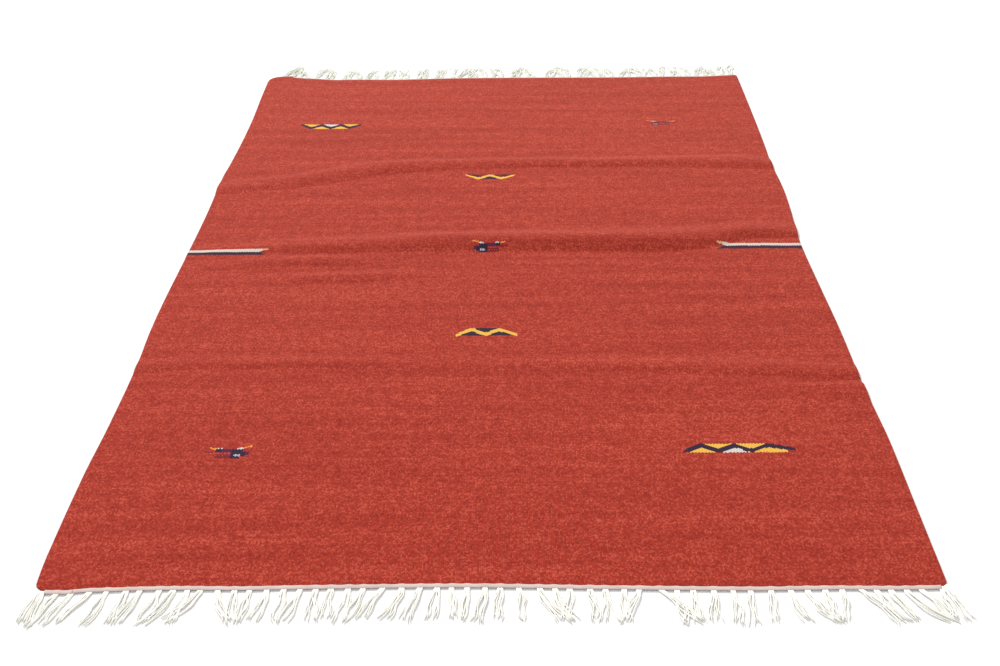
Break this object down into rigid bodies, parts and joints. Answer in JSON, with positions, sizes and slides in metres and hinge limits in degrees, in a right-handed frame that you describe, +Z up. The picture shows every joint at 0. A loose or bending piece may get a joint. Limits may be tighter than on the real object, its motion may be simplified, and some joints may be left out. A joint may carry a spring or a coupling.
{
  "type": "kilim rug",
  "caption": "Flat-woven rectangular wool rug with soft cross folds, sparse small woven figures, cream headings and a knotted cotton fringe at each end",
  "frame": {"origin": "on the floor, under the middle of the rug, centred between the fringe tips", "axes": "+X across the rug to the right, +Y along the warps to the far end, +Z up"},
  "size_m": [1.7162, 2.6088, 0.0249],
  "materials": {
    "red_wool": "matt weft-faced wool weave",
    "cream_cotton": "matt cotton yarn"
  },
  "bodies": {
    "root": {"woven_field": "red_wool", "near_fringe": "cream_cotton", "far_fringe": "cream_cotton"}
  },
  "joints": []
}
